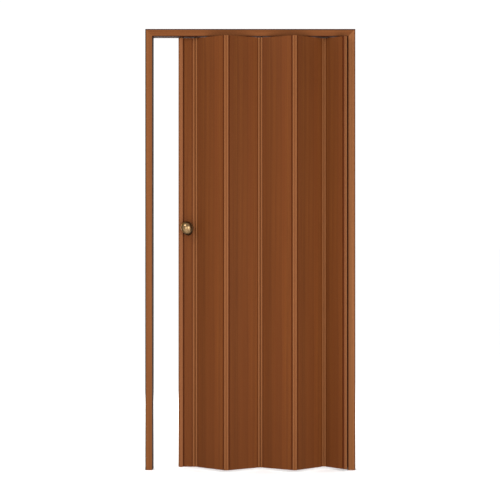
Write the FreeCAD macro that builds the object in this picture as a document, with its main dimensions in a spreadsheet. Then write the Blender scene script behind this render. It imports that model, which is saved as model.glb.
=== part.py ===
"""Accordion door of hollow plastic slats in a three-sided frame, half open.

Millimetres. X runs across the doorway, Y into it, Z up. The origin is the centre of the
head channel's top face, which is fixed to the lintel, and the floor is one door height below.
"""
import FreeCAD
import Part
import Sketcher
import math
import os

SIZES = {
    "door_width": 1000.0,
    "door_height": 2100.0,
    "frame_depth": 60.0,
    "frame_face": 36.5,
    "frame_wall": 2.0,
    "mouth_flare": 3.0,
    "dock_width": 12.0,
    "dock_depth": 5.5,
    "track_slot": 16.0,
    "passage_width": 120.5,
    "post_width": 17.0,
    "post_depth": 26.0,
    "post_round": 2.5,
    "tongue_reach": 4.5,
    "tongue_width": 10.0,
    "slat_pitch": 185.0,
    "slat_thick": 7.0,
    "skin": 1.0,
    "cell_target": 22.0,
    "lead_run": 64.0,
    "flattest_share": 0.9,
    "fold_run_one": 148.41,
    "fold_run_two": 160.49,
    "fold_run_three": 162.6,
    "fold_run_four": 142.71,
    "end_run": 100.4,
    "end_fold_reach": 80.0,
    "wall_slat_tail": 22.0,
    "packing_thick": 6.7,
    "packing_depth": 40.0,
    "bead_reach": 7.0,
    "wall_bead_reach": 10.0,
    "bead_radius": 3.0,
    "port_radius": 1.4,
    "neck_half": 1.1,
    "bore_clear": 0.3,
    "clip_wall": 2.1,
    "clip_floor": 1.4,
    "lip_thick": 1.0,
    "lip_cover": 1.8,
    "rebate_width": 5.8,
    "rebate_depth": 1.8,
    "web_inset": 1.0,
    "seat_gap": 0.3,
    "top_clear": 3.0,
    "floor_clear": 12.0,
    "wheel_radius": 7.0,
    "wheel_width": 5.0,
    "axle_radius": 1.6,
    "truck_length": 22.0,
    "truck_half": 8.2,
    "truck_height": 12.0,
    "king_radius": 3.0,
    "plate_thick": 1.8,
    "plate_half": 5.0,
    "pin_length": 25.0,
    "handle_height": 1150.0,
    "handle_inset": 21.5,
    "rose_radius": 15.0,
    "rose_thick": 5.0,
    "stem_radius": 8.0,
    "stem_length": 10.0,
    "knob_wide": 56.0,
    "knob_stretch": 12.0,
    "knob_taper": 0.18,
    "knob_back": 14.0,
    "knob_tilt": 20.0,
    "spindle_radius": 3.5,
    "spindle_clear": 0.6,
}

doc = FreeCAD.newDocument("accordion_door")
sheet = doc.addObject("Spreadsheet::Sheet", "Sizes")
for row, (alias, number) in enumerate(SIZES.items(), start=1):
    sheet.set("A%d" % row, alias)
    sheet.set("B%d" % row, repr(number))
    sheet.setAlias("B%d" % row, alias)
doc.recompute()

parts = []


def size(alias):
    """Number in the sheet under an alias."""
    return float(sheet.get(alias))


def value(expression):
    """Number that an expression over the sheet's aliases gives."""
    return float(sheet.evalExpression(expression))


def bound(expression):
    """Expression with each alias led by the sheet's name."""
    words = []
    word = ""
    for letter in expression + " ":
        if letter.isalnum() or letter == "_":
            word += letter
            continue
        words.append("Sizes." + word if word in SIZES else word)
        words.append(letter)
        word = ""
    return "".join(words).strip()


def keep(piece, label):
    """List a finished sub-part under the name of its file."""
    piece.Label = label
    parts.append(piece)
    return piece


def new_body(name):
    """Empty body."""
    return doc.addObject("PartDesign::Body", name)


def plane_of(body, role):
    """One of the body's own origin planes."""
    for feature in body.Origin.OriginFeatures:
        if feature.Role == role:
            return feature
    raise ValueError("no plane " + role)


def new_sketch(body, name, role="XY_Plane", offset=None):
    """Sketch on one of the body's origin planes."""
    sketch = body.newObject("Sketcher::SketchObject", name)
    sketch.AttachmentSupport = [(plane_of(body, role), "")]
    sketch.MapMode = "FlatFace"
    if offset is not None:
        sketch.AttachmentOffset = offset
    return sketch


def pin_point(sketch, geometry, end, across, up):
    """Tie a vertex to two expressions, or to one where the other is None."""
    for kind, expression in (("DistanceX", across), ("DistanceY", up)):
        if expression is None:
            continue
        number = value(bound(expression))
        index = sketch.addConstraint(Sketcher.Constraint(kind, -1, 1, geometry, end, number))
        sketch.setExpression("Constraints[%d]" % index, bound(expression))


def outline(sketch, steps):
    """Closed outline of straight lines and arcs.

    Each step is (across, up) for a corner, or (across, up, centre across, centre up, turn) for a
    corner that an arc leaves, counter-clockwise if turn is "ccw" and clockwise if it is "cw".
    The corner after an arc keeps its height only, and the arc gives its place across.
    """
    corners = [(value(bound(step[0])), value(bound(step[1]))) for step in steps]
    count = len(steps)
    kinds = []
    first = sketch.GeometryCount
    for number, step in enumerate(steps):
        start = FreeCAD.Vector(*corners[number], 0)
        end = FreeCAD.Vector(*corners[(number + 1) % count], 0)
        if len(step) == 2:
            sketch.addGeometry(Part.LineSegment(start, end))
            kinds.append("line")
            continue
        centre = FreeCAD.Vector(value(bound(step[2])), value(bound(step[3])), 0)
        turn = step[4]
        low, high = (start, end) if turn == "ccw" else (end, start)
        circle = Part.Circle(centre, FreeCAD.Vector(0, 0, 1), (start - centre).Length)
        begin = math.atan2(low.y - centre.y, low.x - centre.x)
        finish = math.atan2(high.y - centre.y, high.x - centre.x)
        sketch.addGeometry(Part.ArcOfCircle(circle, begin, finish))
        kinds.append(turn)
    for number in range(count):
        after = (number + 1) % count
        leave = 1 if kinds[number] == "cw" else 2
        enter = 2 if kinds[after] == "cw" else 1
        sketch.addConstraint(
            Sketcher.Constraint("Coincident", first + number, leave, first + after, enter))
    for number, step in enumerate(steps):
        start_end = 2 if kinds[number] == "cw" else 1
        after_arc = kinds[number - 1] != "line"
        pin_point(sketch, first + number, start_end, None if after_arc else step[0], step[1])
        if kinds[number] != "line":
            pin_point(sketch, first + number, 3, step[2], step[3])


def circle(sketch, across, up, radius):
    """Circle with its centre and radius tied to expressions."""
    centre = FreeCAD.Vector(value(bound(across)), value(bound(up)), 0)
    index = sketch.addGeometry(
        Part.Circle(centre, FreeCAD.Vector(0, 0, 1), value(bound(radius))))
    pin_point(sketch, index, 3, across, up)
    tie = sketch.addConstraint(Sketcher.Constraint("Radius", index, value(bound(radius))))
    sketch.setExpression("Constraints[%d]" % tie, bound(radius))


def rectangle(sketch, left, low, right, high):
    """Rectangle from two corners."""
    outline(sketch, [(left, low), (right, low), (right, high), (left, high)])


def pad(body, sketch, length, name, both_ways=False):
    """Extrusion along the sketch's normal, or half of it each way."""
    feature = body.newObject("PartDesign::Pad", name)
    feature.Profile = sketch
    feature.Midplane = both_ways
    feature.setExpression("Length", bound(length))
    doc.recompute()
    return feature


def pocket(body, sketch, name, both_ways=False):
    """Cut along the sketch's normal, through the whole solid."""
    before = body.Shape.Volume
    feature = body.newObject("PartDesign::Pocket", name)
    feature.Profile = sketch
    feature.Type = "ThroughAll"
    feature.Midplane = both_ways
    feature.Reversed = not both_ways
    doc.recompute()
    if body.Shape.Volume >= before:
        raise ValueError(name + " cuts nothing")
    return feature


def round_posts(body, base, radius, corners, name):
    """Round the upright edges that stand at the given places in plan."""
    found = []
    for number, edge in enumerate(base.Shape.Edges, start=1):
        line = edge.Vertexes
        if len(line) != 2:
            continue
        low, high = line[0].Point, line[1].Point
        upright = abs(low.x - high.x) < 0.01 and abs(low.y - high.y) < 0.01
        if upright and any(math.hypot(low.x - x, low.y - y) < 0.05 for x, y in corners):
            found.append("Edge%d" % number)
    feature = body.newObject("PartDesign::Fillet", name)
    feature.Base = (base, found)
    feature.setExpression("Radius", bound(radius))
    doc.recompute()
    return feature


def placed(x, y, z, angle=0.0):
    """Placement at a point, turned about the upright axis."""
    turn = FreeCAD.Rotation(FreeCAD.Vector(0, 0, 1), angle)
    return FreeCAD.Placement(FreeCAD.Vector(x, y, z), turn)


# Heights
FLOOR = -size("door_height")
LEAF_LOW = FLOOR + size("floor_clear")
LEAF_HIGH = -size("frame_face") - size("top_clear")
LEAF_HEIGHT = "(door_height - frame_face - top_clear - floor_clear)"

# Frame: two jambs and a head channel, mitred at the top corners.


def mitre(body, side):
    """Cut a jamb's top at 45 degrees. Side is 1 where the room is at +X, and -1 where it is at -X."""
    sketch = new_sketch(body, "mitre_outline", "XZ_Plane")
    inner = "(frame_face + 1) * %d" % side
    outline(sketch, [
        ("-1 * %d" % side, "door_height + 1"),
        (inner, "door_height - frame_face - 1"),
        (inner, "door_height + 1"),
    ])
    pocket(body, sketch, "mitre", both_ways=True)


def left_jamb():
    """Docking jamb: a hollow channel with a flared inner face and a groove for the post."""
    body = new_body("left_jamb")
    half = "frame_depth / 2"
    front = "frame_face - mouth_flare"
    slope = "mouth_flare / frame_depth"
    low_lip = "%s + (%s - dock_width / 2) * %s" % (front, half, slope)
    high_lip = "%s + (%s + dock_width / 2) * %s" % (front, half, slope)
    dock_floor = "frame_face - mouth_flare / 2 - dock_depth"
    sketch = new_sketch(body, "section")
    outline(sketch, [
        ("0", "-" + half),
        (front, "-" + half),
        (low_lip, "-dock_width / 2"),
        (dock_floor, "-dock_width / 2"),
        (dock_floor, "dock_width / 2"),
        (high_lip, "dock_width / 2"),
        ("frame_face", half),
        ("0", half),
    ])
    base = pad(body, sketch, "door_height", "length")
    corners = [(value(bound(front)), -size("frame_depth") / 2)]
    round_posts(body, base, "post_round", corners, "arris")
    cells = new_sketch(body, "hollow_outline")
    near = front + " - 2 * frame_wall"
    inner = dock_floor + " - frame_wall"
    shell = "(frame_depth / 2 - frame_wall)"
    rib = "(dock_width / 2 + frame_wall)"
    outline(cells, [
        ("frame_wall", "-" + shell),
        (near, "-" + shell),
        (near, "-" + rib),
        (inner, "-" + rib),
        (inner, rib),
        (near, rib),
        (near, shell),
        ("frame_wall", shell),
    ])
    pocket(body, cells, "hollow")
    mitre(body, 1)
    body.Placement = placed(-size("door_width") / 2, 0, FLOOR)
    keep(body, "left_jamb")


def right_jamb():
    """Wall-side jamb: a plain hollow channel with a rib, which carries the folded stack."""
    body = new_body("right_jamb")
    half = "frame_depth / 2"
    sketch = new_sketch(body, "section")
    rectangle(sketch, "-frame_face", "-" + half, "0", half)
    base = pad(body, sketch, "door_height", "length")
    front = -size("frame_depth") / 2
    corners = [(-size("frame_face"), front), (0, front)]
    round_posts(body, base, "post_round", corners, "arris")
    shell = "(frame_depth / 2 - frame_wall)"
    for name, low, high in (("front", "-" + shell, "-frame_wall / 2"),
                            ("back", "frame_wall / 2", shell)):
        cell = new_sketch(body, name + "_cell")
        rectangle(cell, "-frame_face + frame_wall", low, "-frame_wall", high)
        pocket(body, cell, name + "_hollow")
    mitre(body, -1)
    body.Placement = placed(size("door_width") / 2, 0, FLOOR)
    keep(body, "right_jamb")


def head_channel():
    """Head: a channel open below along a slot, which is the track of the hangers."""
    body = new_body("head_channel")
    half = "frame_depth / 2"
    shell = "(frame_depth / 2 - frame_wall)"
    lip = "-frame_face + frame_wall"
    sketch = new_sketch(body, "section", "YZ_Plane")
    outline(sketch, [
        ("-" + half, "-frame_face"),
        ("-track_slot / 2", "-frame_face"),
        ("-track_slot / 2", lip),
        ("-" + shell, lip),
        ("-" + shell, "-frame_wall"),
        (shell, "-frame_wall"),
        (shell, lip),
        ("track_slot / 2", lip),
        ("track_slot / 2", "-frame_face"),
        (half, "-frame_face"),
        (half, "0"),
        ("-" + half, "0"),
    ])
    pad(body, sketch, "door_width", "length", both_ways=True)
    for side, sign in (("left", -1), ("right", 1)):
        cut = new_sketch(body, side + "_mitre_outline", "XZ_Plane")
        outer = "(door_width / 2 + 1) * %d" % sign
        inner = "(door_width / 2 - frame_face - 1) * %d" % sign
        outline(cut, [(outer, "1"), (outer, "-frame_face - 1"), (inner, "-frame_face - 1")])
        pocket(body, cut, side + "_mitre", both_ways=True)
    keep(body, "head_channel")


# Sizes of the bead joint, shared by the slats, the hinges and the lead post. Those that run
# along a slat are measured from the bead's centre.
BORE = "(bead_radius + bore_clear)"
MOUTH = "(neck_half + bore_clear)"
BORE_EDGE = "sqrt(%s ^ 2 - %s ^ 2)" % (BORE, MOUTH)
BEAD_EDGE = "sqrt(bead_radius ^ 2 - neck_half ^ 2)"
CLIP_END = "(%s + clip_floor)" % BORE_EDGE
SHOULDER = "(%s + seat_gap)" % CLIP_END
TIP = "(%s + lip_cover)" % SHOULDER
REBATE = "(%s + rebate_width)" % SHOULDER
THIN = "(slat_thick / 2 - rebate_depth)"
LIP_IN = "(%s + bore_clear)" % THIN
LIP_OUT = "(%s + lip_thick)" % LIP_IN
BARREL = "(%s + clip_wall)" % BORE


def plan_points():
    """Fold points in plan, from the lead post's bore to the wall slat's cut end.

    The slats between the lead slat and the end slat share the room that is left in the ratio of
    the fold runs, in as many pairs as keep them from lying flatter than the flattest share.
    """
    inner_left = -size("door_width") / 2 + size("frame_face")
    post_left = inner_left + size("passage_width")
    bore = post_left + size("tongue_reach") + size("post_width") - value(bound(CLIP_END))
    points = [FreeCAD.Vector(bore - size("bead_reach"), 0, 0)]
    points.append(points[0] + FreeCAD.Vector(size("lead_run") + size("bead_reach"), 0, 0))
    stack_side = (size("door_width") / 2 - size("frame_face") - size("packing_thick")
                  - 2 * size("seat_gap") - size("slat_thick") / 2)
    room = stack_side - size("end_run") - points[1].x
    pairs = math.ceil(room / (2 * size("slat_pitch") * size("flattest_share")))
    runs = [size("fold_run_" + word) for word in ("one", "two", "three", "four")]
    shares = [runs[number % len(runs)] for number in range(2 * pairs)]
    forward = -1
    for share in shares:
        run = room * share / sum(shares)
        depth = math.sqrt(size("slat_pitch") ** 2 - run ** 2)
        points.append(points[-1] + FreeCAD.Vector(run, forward * depth, 0))
        forward = -forward
    points.append(FreeCAD.Vector(stack_side, -size("end_fold_reach"), 0))
    points.append(FreeCAD.Vector(stack_side, size("wall_slat_tail"), 0))
    return points


POINTS = plan_points()
END_FOLD = len(POINTS) - 3


def turn_of(step):
    """Angle of a plan direction, in degrees."""
    return math.degrees(math.atan2(step.y, step.x))


def lead_post():
    """Lead post: a hollow stile with a tongue for the jamb and a bore for the lead slat's bead.

    Its own origin is the bore's centre.
    """
    body = new_body("lead_post")
    left = "%s - post_width" % CLIP_END
    tip = left + " - tongue_reach"
    half = "post_depth / 2"
    sketch = new_sketch(body, "section")
    outline(sketch, [
        (CLIP_END, "-" + MOUTH),
        (CLIP_END, "-" + half),
        (left, "-" + half),
        (left, "-tongue_width / 2"),
        (tip, "-tongue_width / 2"),
        (tip, "tongue_width / 2"),
        (left, "tongue_width / 2"),
        (left, half),
        (CLIP_END, half),
        (CLIP_END, MOUTH),
        (BORE_EDGE, MOUTH, "0", "0", "ccw"),
        (BORE_EDGE, "-" + MOUTH),
    ])
    base = pad(body, sketch, LEAF_HEIGHT, "length")
    edge = size("post_depth") / 2
    sides = (value(bound(left)), value(bound(CLIP_END)))
    round_posts(body, base, "post_round", [(x, y) for x in sides for y in (-edge, edge)], "arris")
    inset = "clip_floor + bead_radius + bore_clear"
    for name, low, high in (("front", "-%s + clip_floor" % half, "-(%s)" % inset),
                            ("back", inset, half + " - clip_floor")):
        cell = new_sketch(body, name + "_cell")
        rectangle(cell, left + " + clip_floor", low, CLIP_END + " - clip_floor", high)
        pocket(body, cell, name + "_hollow")
    body.Placement = placed(POINTS[0].x + size("bead_reach"), 0, LEAF_LOW)
    keep(body, "lead_post")


def slat(label, start, end, length, near="bead_reach", far="bead_reach"):
    """Hollow slat with a bead along each edge, or along its first only where far is None.

    Its own origin is the fold point at its start, and its own X runs to the next one. Near and far
    are the beads' distances from those points. Beside each bead both faces step down to a rebate,
    where the hinge's lips lie.
    """
    body = new_body(label)
    half = "slat_thick / 2"
    sketch = new_sketch(body, "section")
    left = "(%s + %s)" % (near, REBATE)
    near_bead = [
        (left, half),
        (left, THIN),
        ("%s + %s" % (near, SHOULDER), THIN),
        ("%s + %s" % (near, SHOULDER), "neck_half"),
        ("%s + %s" % (near, BEAD_EDGE), "neck_half", near, "0", "ccw"),
        ("%s + %s" % (near, BEAD_EDGE), "-neck_half"),
        ("%s + %s" % (near, SHOULDER), "-neck_half"),
        ("%s + %s" % (near, SHOULDER), "-" + THIN),
        (left, "-" + THIN),
        (left, "-" + half),
    ]
    if far is None:
        right = length
        far_bead = [(right, "-" + half), (right, half)]
    else:
        bead = "(%s - %s)" % (length, far)
        right = "(%s - %s)" % (bead, REBATE)
        far_bead = [
            (right, "-" + half),
            (right, "-" + THIN),
            ("%s - %s" % (bead, SHOULDER), "-" + THIN),
            ("%s - %s" % (bead, SHOULDER), "-neck_half"),
            ("%s - %s" % (bead, BEAD_EDGE), "-neck_half", bead, "0", "ccw"),
            ("%s - %s" % (bead, BEAD_EDGE), "neck_half"),
            ("%s - %s" % (bead, SHOULDER), "neck_half"),
            ("%s - %s" % (bead, SHOULDER), THIN),
            (right, THIN),
            (right, half),
        ]
    outline(sketch, near_bead + far_bead)
    pad(body, sketch, LEAF_HEIGHT, "length")
    ports = new_sketch(body, "port_outline")
    circle(ports, near, "0", "port_radius")
    if far is not None:
        circle(ports, bead, "0", "port_radius")
    pocket(body, ports, "ports")
    room = value(bound("%s - %s" % (right, left)))
    count = max(1, round(room / size("cell_target")))
    step = "(%s - %s - skin) / %d" % (right, left, count)
    cell = new_sketch(body, "cell_outline")
    rectangle(cell, left + " + skin", "-(%s - skin)" % half,
              "%s + %s" % (left, step), "%s - skin" % half)
    cut = pocket(body, cell, "cell")
    if count > 1:
        row = body.newObject("PartDesign::LinearPattern", "cells")
        row.Originals = [cut]
        row.Direction = (cell, ["H_Axis"])
        row.setExpression("Length", bound("(%s) * %d" % (step, count - 1)))
        row.Occurrences = count
        body.Tip = row
        doc.recompute()
    body.Placement = placed(start.x, start.y, LEAF_LOW, turn_of(end - start))
    keep(body, label)
    return body


def handle_bore(body):
    """Round hole through the lead slat for the spindle of the knobs."""
    sketch = new_sketch(body, "spindle_hole_outline", "XZ_Plane")
    across = "bead_reach + %s + handle_inset" % CLIP_END
    up = "handle_height - floor_clear"
    circle(sketch, across, up, "spindle_radius + spindle_clear")
    pocket(body, sketch, "spindle_hole", both_ways=True)


def hinge(label, corner, before, after, reach="bead_reach"):
    """Hinge profile: two clips that close round the beads, joined by a web on the outer side.

    Its own origin is the fold point, and its own Y points out of the fold. The web reaches in to
    the line of the beads, so that clips which touch in a sharp fold leave no slot behind it.
    """
    toward_before = (before - corner).normalize()
    toward_after = (after - corner).normalize()
    outward = (toward_before + toward_after) * -1
    angle = math.degrees(toward_before.getAngle(toward_after))
    lean = (180 - angle) / 2
    body = new_body(label)
    web = new_sketch(body, "web_outline")
    half = "%s * cos(%r)" % (reach, lean)
    beads = "-%s * sin(%r)" % (reach, lean)
    rectangle(web, "-" + half, beads, half, "%s + %s - web_inset" % (beads, BARREL))
    pad(body, web, LEAF_HEIGHT, "web")
    join = "%s + sqrt(%s ^ 2 - %s ^ 2)" % (reach, BARREL, LIP_OUT)
    tip = "%s + %s" % (reach, TIP)
    offsets = {
        "right": placed(0, 0, 0, -lean),
        "left": placed(0, 0, 0, 180 + lean),
    }
    for side, offset in offsets.items():
        shell = new_sketch(body, side + "_clip_outline", offset=offset)
        outline(shell, [
            (tip, "-" + LIP_OUT),
            (join, "-" + LIP_OUT, reach, "0", "cw"),
            (join, LIP_OUT),
            (tip, LIP_OUT),
        ])
        pad(body, shell, LEAF_HEIGHT, side + "_clip")
    for side, offset in offsets.items():
        room = new_sketch(body, side + "_bore_outline", offset=offset)
        outline(room, [
            (tip + " + 1", "-" + LIP_IN),
            (tip + " + 1", LIP_IN),
            ("%s + %s" % (reach, CLIP_END), LIP_IN),
            ("%s + %s" % (reach, CLIP_END), MOUTH),
            ("%s + %s" % (reach, BORE_EDGE), MOUTH, reach, "0", "ccw"),
            ("%s + %s" % (reach, BORE_EDGE), "-" + MOUTH),
            ("%s + %s" % (reach, CLIP_END), "-" + MOUTH),
            ("%s + %s" % (reach, CLIP_END), "-" + LIP_IN),
        ])
        pocket(body, room, side + "_bore")
    body.Placement = placed(corner.x, corner.y, LEAF_LOW, turn_of(outward) - 90)
    keep(body, label)


def packing_strip():
    """Strip between the wall slat and the jamb that the slat is screwed to."""
    strip = doc.addObject("Part::Box", "packing_strip")
    strip.setExpression("Length", bound("packing_thick"))
    strip.setExpression("Width", bound("packing_depth"))
    strip.setExpression("Height", bound(LEAF_HEIGHT))
    left = size("door_width") / 2 - size("frame_face") - size("seat_gap") - size("packing_thick")
    strip.Placement = placed(left, -size("packing_depth") / 2, LEAF_LOW)
    keep(strip, "packing_strip")


def box(name, length, width, height, x, y, z):
    """Box with bound sizes, its low corner at expressions."""
    block = doc.addObject("Part::Box", name)
    for field, expression in (("Length", length), ("Width", width), ("Height", height)):
        block.setExpression(field, bound(expression))
    for field, expression in (("x", x), ("y", y), ("z", z)):
        block.setExpression("Placement.Base." + field, bound(expression))
    return block


def rod(name, radius, length, x, y, z, axis):
    """Cylinder with bound sizes that starts at expressions and runs along an axis."""
    bar = doc.addObject("Part::Cylinder", name)
    bar.setExpression("Radius", bound(radius))
    bar.setExpression("Height", bound(length))
    bar.Placement.Rotation = FreeCAD.Rotation(FreeCAD.Vector(0, 0, 1), axis)
    for field, expression in (("x", x), ("y", y), ("z", z)):
        bar.setExpression("Placement.Base." + field, bound(expression))
    return bar


def fuse(name, pieces):
    """One solid of several primitives."""
    joined = doc.addObject("Part::MultiFuse", name)
    joined.Shapes = pieces
    return joined


UP = FreeCAD.Vector(0, 0, 1)
INWARD = FreeCAD.Vector(0, 1, 0)
AXLE_HEIGHT = "(top_clear + frame_wall + seat_gap + wheel_radius)"
AXLE_HALF = "(truck_half + seat_gap + wheel_width + 1)"


def hanger(number, x, offset):
    """Truck in the track, its king pin, and the plate and pin that carry a slat's bead.

    Its own origin is on the king pin at the height of the slats' tops.
    """
    name = "hanger_%d" % number
    pieces = [
        box(name + "_block", "truck_length", "truck_half * 2", "truck_height",
            "-truck_length / 2", "-truck_half", AXLE_HEIGHT + " - truck_height / 2"),
        rod(name + "_king_pin", "king_radius", AXLE_HEIGHT, "0", "0", "seat_gap", UP),
        box(name + "_plate", "plate_half * 2", "plate_half * 2 + %r" % abs(offset), "plate_thick",
            "-plate_half", "-plate_half + %r" % min(offset, 0), "seat_gap"),
        rod(name + "_bead_pin", "port_radius - bore_clear", "pin_length + seat_gap",
            "0", repr(offset), "-pin_length", UP),
        rod(name + "_axle", "axle_radius", AXLE_HALF + " * 2",
            "0", "-" + AXLE_HALF, AXLE_HEIGHT, INWARD),
    ]
    frame = fuse(name, pieces)
    frame.Placement = placed(x, 0, LEAF_HIGH)
    keep(frame, name)


def rollers(number, x):
    """Two wheels of one truck."""
    name = "rollers_%d" % number
    wheels = []
    for row, face in (("front", "-truck_half - seat_gap - wheel_width"),
                      ("back", "truck_half + seat_gap")):
        label = "%s_%s" % (name, row)
        wheel = doc.addObject("Part::Cut", label)
        wheel.Base = rod(label + "_disc", "wheel_radius", "wheel_width",
                         "0", face, AXLE_HEIGHT, INWARD)
        wheel.Tool = rod(label + "_bore", "axle_radius + bore_clear", "wheel_width + 2",
                         "0", face + " - 1", AXLE_HEIGHT, INWARD)
        wheels.append(wheel)
    group = doc.addObject("Part::Compound", name)
    group.Links = wheels
    group.Placement = placed(x, 0, LEAF_HIGH)
    keep(group, name)


KNOB_LEVELS = (1.0, 0.92, 0.75, 0.5, 0.2, -0.1, -0.4, -0.65, -0.85, -0.96, -1.0)


def knob_grip(word, side):
    """Egg-shaped grip, broad above, turned round its long axis and cut flat at its back.

    Its levels are shares of its half height. Its own Y is the long axis.
    """
    body = new_body("knob_%s_grip" % word)
    profile = new_sketch(body, "profile")
    steps = []
    for level in KNOB_LEVELS:
        radius = "knob_wide / 2 * sqrt(1 - %r) * (1 + knob_taper * %r)" % (level ** 2, level)
        steps.append((radius, "(knob_wide + knob_stretch) / 2 * %r" % (-side * level)))
    outline(profile, steps)
    turned = body.newObject("PartDesign::Revolution", "egg")
    turned.Profile = profile
    turned.ReferenceAxis = (profile, ["V_Axis"])
    turned.Angle = 360.0
    doc.recompute()
    behind = new_sketch(body, "back_outline", "YZ_Plane")
    rectangle(behind, "-knob_wide", "-knob_wide", "knob_wide", "-knob_back")
    pocket(body, behind, "flat_back", both_ways=True)
    body.setExpression("Placement.Base.z", bound("stem_length + knob_back"))
    return body


def knob_set(word, side, centre):
    """Rose and knob on one face of the lead slat. Side is -1 at the front and 1 behind."""
    face = "slat_thick / 2 + seat_gap"
    back = centre.x, side * value(bound(face)), centre.z
    turn = FreeCAD.Rotation(FreeCAD.Vector(1, 0, 0), 90 if side < 0 else -90)
    rose = doc.addObject("Part::Cylinder", "rose_" + word + "_disc")
    rose.setExpression("Radius", bound("rose_radius"))
    rose.setExpression("Height", bound("rose_thick"))
    hole = doc.addObject("Part::Cylinder", "rose_" + word + "_hole")
    hole.setExpression("Radius", bound("spindle_radius + seat_gap"))
    hole.setExpression("Height", bound("rose_thick"))
    plate = doc.addObject("Part::Cut", "rose_" + word)
    plate.Base = rose
    plate.Tool = hole
    plate.Placement = FreeCAD.Placement(FreeCAD.Vector(*back), turn)
    keep(plate, "rose_" + word)
    stem = doc.addObject("Part::Cylinder", "knob_" + word + "_stem")
    stem.setExpression("Radius", bound("stem_radius"))
    stem.setExpression("Height", bound("stem_length + knob_back"))
    body = fuse("knob_" + word + "_body", [stem, knob_grip(word, side)])
    socket = doc.addObject("Part::Cylinder", "knob_" + word + "_socket")
    socket.setExpression("Radius", bound("spindle_radius + seat_gap"))
    socket.setExpression("Height", bound("stem_length"))
    knob = doc.addObject("Part::Cut", "knob_" + word)
    knob.Base = body
    knob.Tool = socket
    lean = FreeCAD.Rotation(FreeCAD.Vector(0, 0, 1), side * -size("knob_tilt"))
    seat = side * value(bound(face + " + rose_thick + seat_gap"))
    knob.Placement = FreeCAD.Placement(FreeCAD.Vector(centre.x, seat, centre.z), turn * lean)
    keep(knob, "knob_" + word)


def knobs():
    """Both knobs with their roses, and the spindle that joins them through the lead slat."""
    across = POINTS[0].x + size("bead_reach") + value(bound(CLIP_END)) + size("handle_inset")
    centre = FreeCAD.Vector(across, 0, FLOOR + size("handle_height"))
    knob_set("front", -1, centre)
    knob_set("back", 1, centre)
    reach = value(bound("slat_thick / 2 + 2 * seat_gap + rose_thick + stem_length - 1"))
    spindle = doc.addObject("Part::Cylinder", "knob_spindle")
    spindle.setExpression("Radius", bound("spindle_radius"))
    spindle.Height = 2 * reach
    spindle.Placement = FreeCAD.Placement(
        FreeCAD.Vector(centre.x, -reach, centre.z), FreeCAD.Rotation(UP, INWARD))
    keep(spindle, "knob_spindle")


def leaf():
    """The folding leaf: post, slats, hinges, hangers, rollers and knobs."""
    lead_post()
    lead = slat("lead_slat", POINTS[0], POINTS[1], "(lead_run + bead_reach)")
    handle_bore(lead)
    for number in range(1, END_FOLD):
        slat("slat_%d" % number, POINTS[number], POINTS[number + 1], "slat_pitch")
        hinge("hinge_%d" % number, POINTS[number], POINTS[number - 1], POINTS[number + 1])
    before, start, end, tail = POINTS[END_FOLD - 1:]
    slat("end_slat", start, end, repr((end - start).Length), far="wall_bead_reach")
    hinge("hinge_%d" % END_FOLD, start, before, end)
    length = "(end_fold_reach + wall_slat_tail)"
    slat("wall_slat", end, tail, length, near="wall_bead_reach", far=None)
    hinge("hinge_%d" % (END_FOLD + 1), end, start, tail, reach="wall_bead_reach")
    packing_strip()
    for number, fold in enumerate([0, *range(1, END_FOLD + 1, 2)], start=1):
        step = (POINTS[fold + 1] - POINTS[fold]).normalize() * size("bead_reach")
        bead = POINTS[fold] + step
        hanger(number, bead.x, bead.y)
        rollers(number, bead.x)
    knobs()


left_jamb()
right_jamb()
head_channel()
leaf()
doc.recompute()

for item in doc.Objects:
    if "Invalid" in item.State or "Error" in item.State:
        raise ValueError("failed object " + item.Name)
for piece in parts:
    if piece.Shape.isNull() or not piece.Shape.isValid():
        raise ValueError("bad shape " + piece.Label)

os.makedirs("parts", exist_ok=True)
for piece in parts:
    piece.Shape.exportStep("parts/%s.step" % piece.Label)
    print(piece.Label, len(piece.Shape.Solids), round(piece.Shape.Volume))
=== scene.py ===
"""Looks of a half-open folding door of brown wood-grain plastic in a three-sided frame.

Metres, in the door's frame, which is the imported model's: X runs across the doorway, Y into it
and Z up. The origin is the centre of the head channel's top face.
"""

import logging
import math
from dataclasses import dataclass
from enum import Enum
from typing import Any

import bmesh
import bpy
import numpy as np
from mathutils import Euler, Matrix, Vector, geometry

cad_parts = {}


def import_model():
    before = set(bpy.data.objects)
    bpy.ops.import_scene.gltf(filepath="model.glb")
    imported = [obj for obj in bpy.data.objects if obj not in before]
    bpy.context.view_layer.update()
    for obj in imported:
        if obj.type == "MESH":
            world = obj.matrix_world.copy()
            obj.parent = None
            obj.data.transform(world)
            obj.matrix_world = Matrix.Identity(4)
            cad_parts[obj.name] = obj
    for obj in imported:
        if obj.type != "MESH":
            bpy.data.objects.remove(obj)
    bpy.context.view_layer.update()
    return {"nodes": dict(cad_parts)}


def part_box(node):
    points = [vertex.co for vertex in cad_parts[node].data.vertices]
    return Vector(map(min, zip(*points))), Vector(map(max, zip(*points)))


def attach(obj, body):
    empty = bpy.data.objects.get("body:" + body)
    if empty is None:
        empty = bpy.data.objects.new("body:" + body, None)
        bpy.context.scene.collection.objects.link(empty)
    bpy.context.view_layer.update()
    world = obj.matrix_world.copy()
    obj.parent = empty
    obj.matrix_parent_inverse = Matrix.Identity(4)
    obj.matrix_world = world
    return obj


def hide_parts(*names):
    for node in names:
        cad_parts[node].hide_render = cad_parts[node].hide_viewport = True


LOG = logging.getLogger("folding_door")
MM = 0.001

# Length that the middle line of a slat is drawn out to, to find where two of them cross.
FAR = 2.0
# Decimals that corners in plan are rounded to, so that a slat's top and foot give one outline.
PLAN_DECIMALS = 6

# Where a hinge's ridge ends, from the middle of its clip, as shares of the clip's radius: toward
# the web, and away from it, where the lip starts.
RIDGE_TO_WEB = 0.55
RIDGE_TO_LIP = 0.95
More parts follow.
